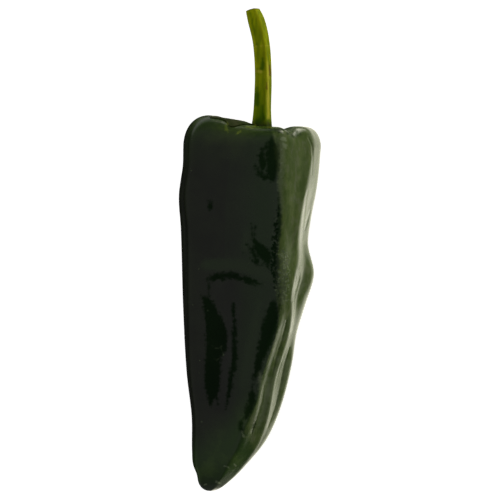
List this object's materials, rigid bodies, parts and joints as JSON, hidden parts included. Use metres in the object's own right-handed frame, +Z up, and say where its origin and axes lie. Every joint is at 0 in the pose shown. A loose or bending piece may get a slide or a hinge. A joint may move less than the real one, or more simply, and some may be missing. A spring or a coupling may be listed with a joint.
{
  "type": "pasilla pepper",
  "caption": "Fresh dark green pasilla pepper lying on its back: a blocky, tapering pod with folded sides, a calyx over its sunken crown and a curved stem.",
  "frame": {"origin": "on the surface that the pepper lies on, under the middle of its bounding box", "axes": "+Y runs from the tip of the pod to the cut end of the stem, +X is to the right seen from above, and +Z is up, away from the surface it lies on"},
  "size_m": [0.0529, 0.18, 0.0426],
  "materials": {
    "pod": "glossy, waxy, very dark green skin",
    "stem_and_calyx": "matt olive green, ribbed and streaked, with a dry cut end"
  },
  "bodies": {
    "root": {"pod": "pod", "stem_and_calyx": "stem_and_calyx"}
  },
  "joints": []
}
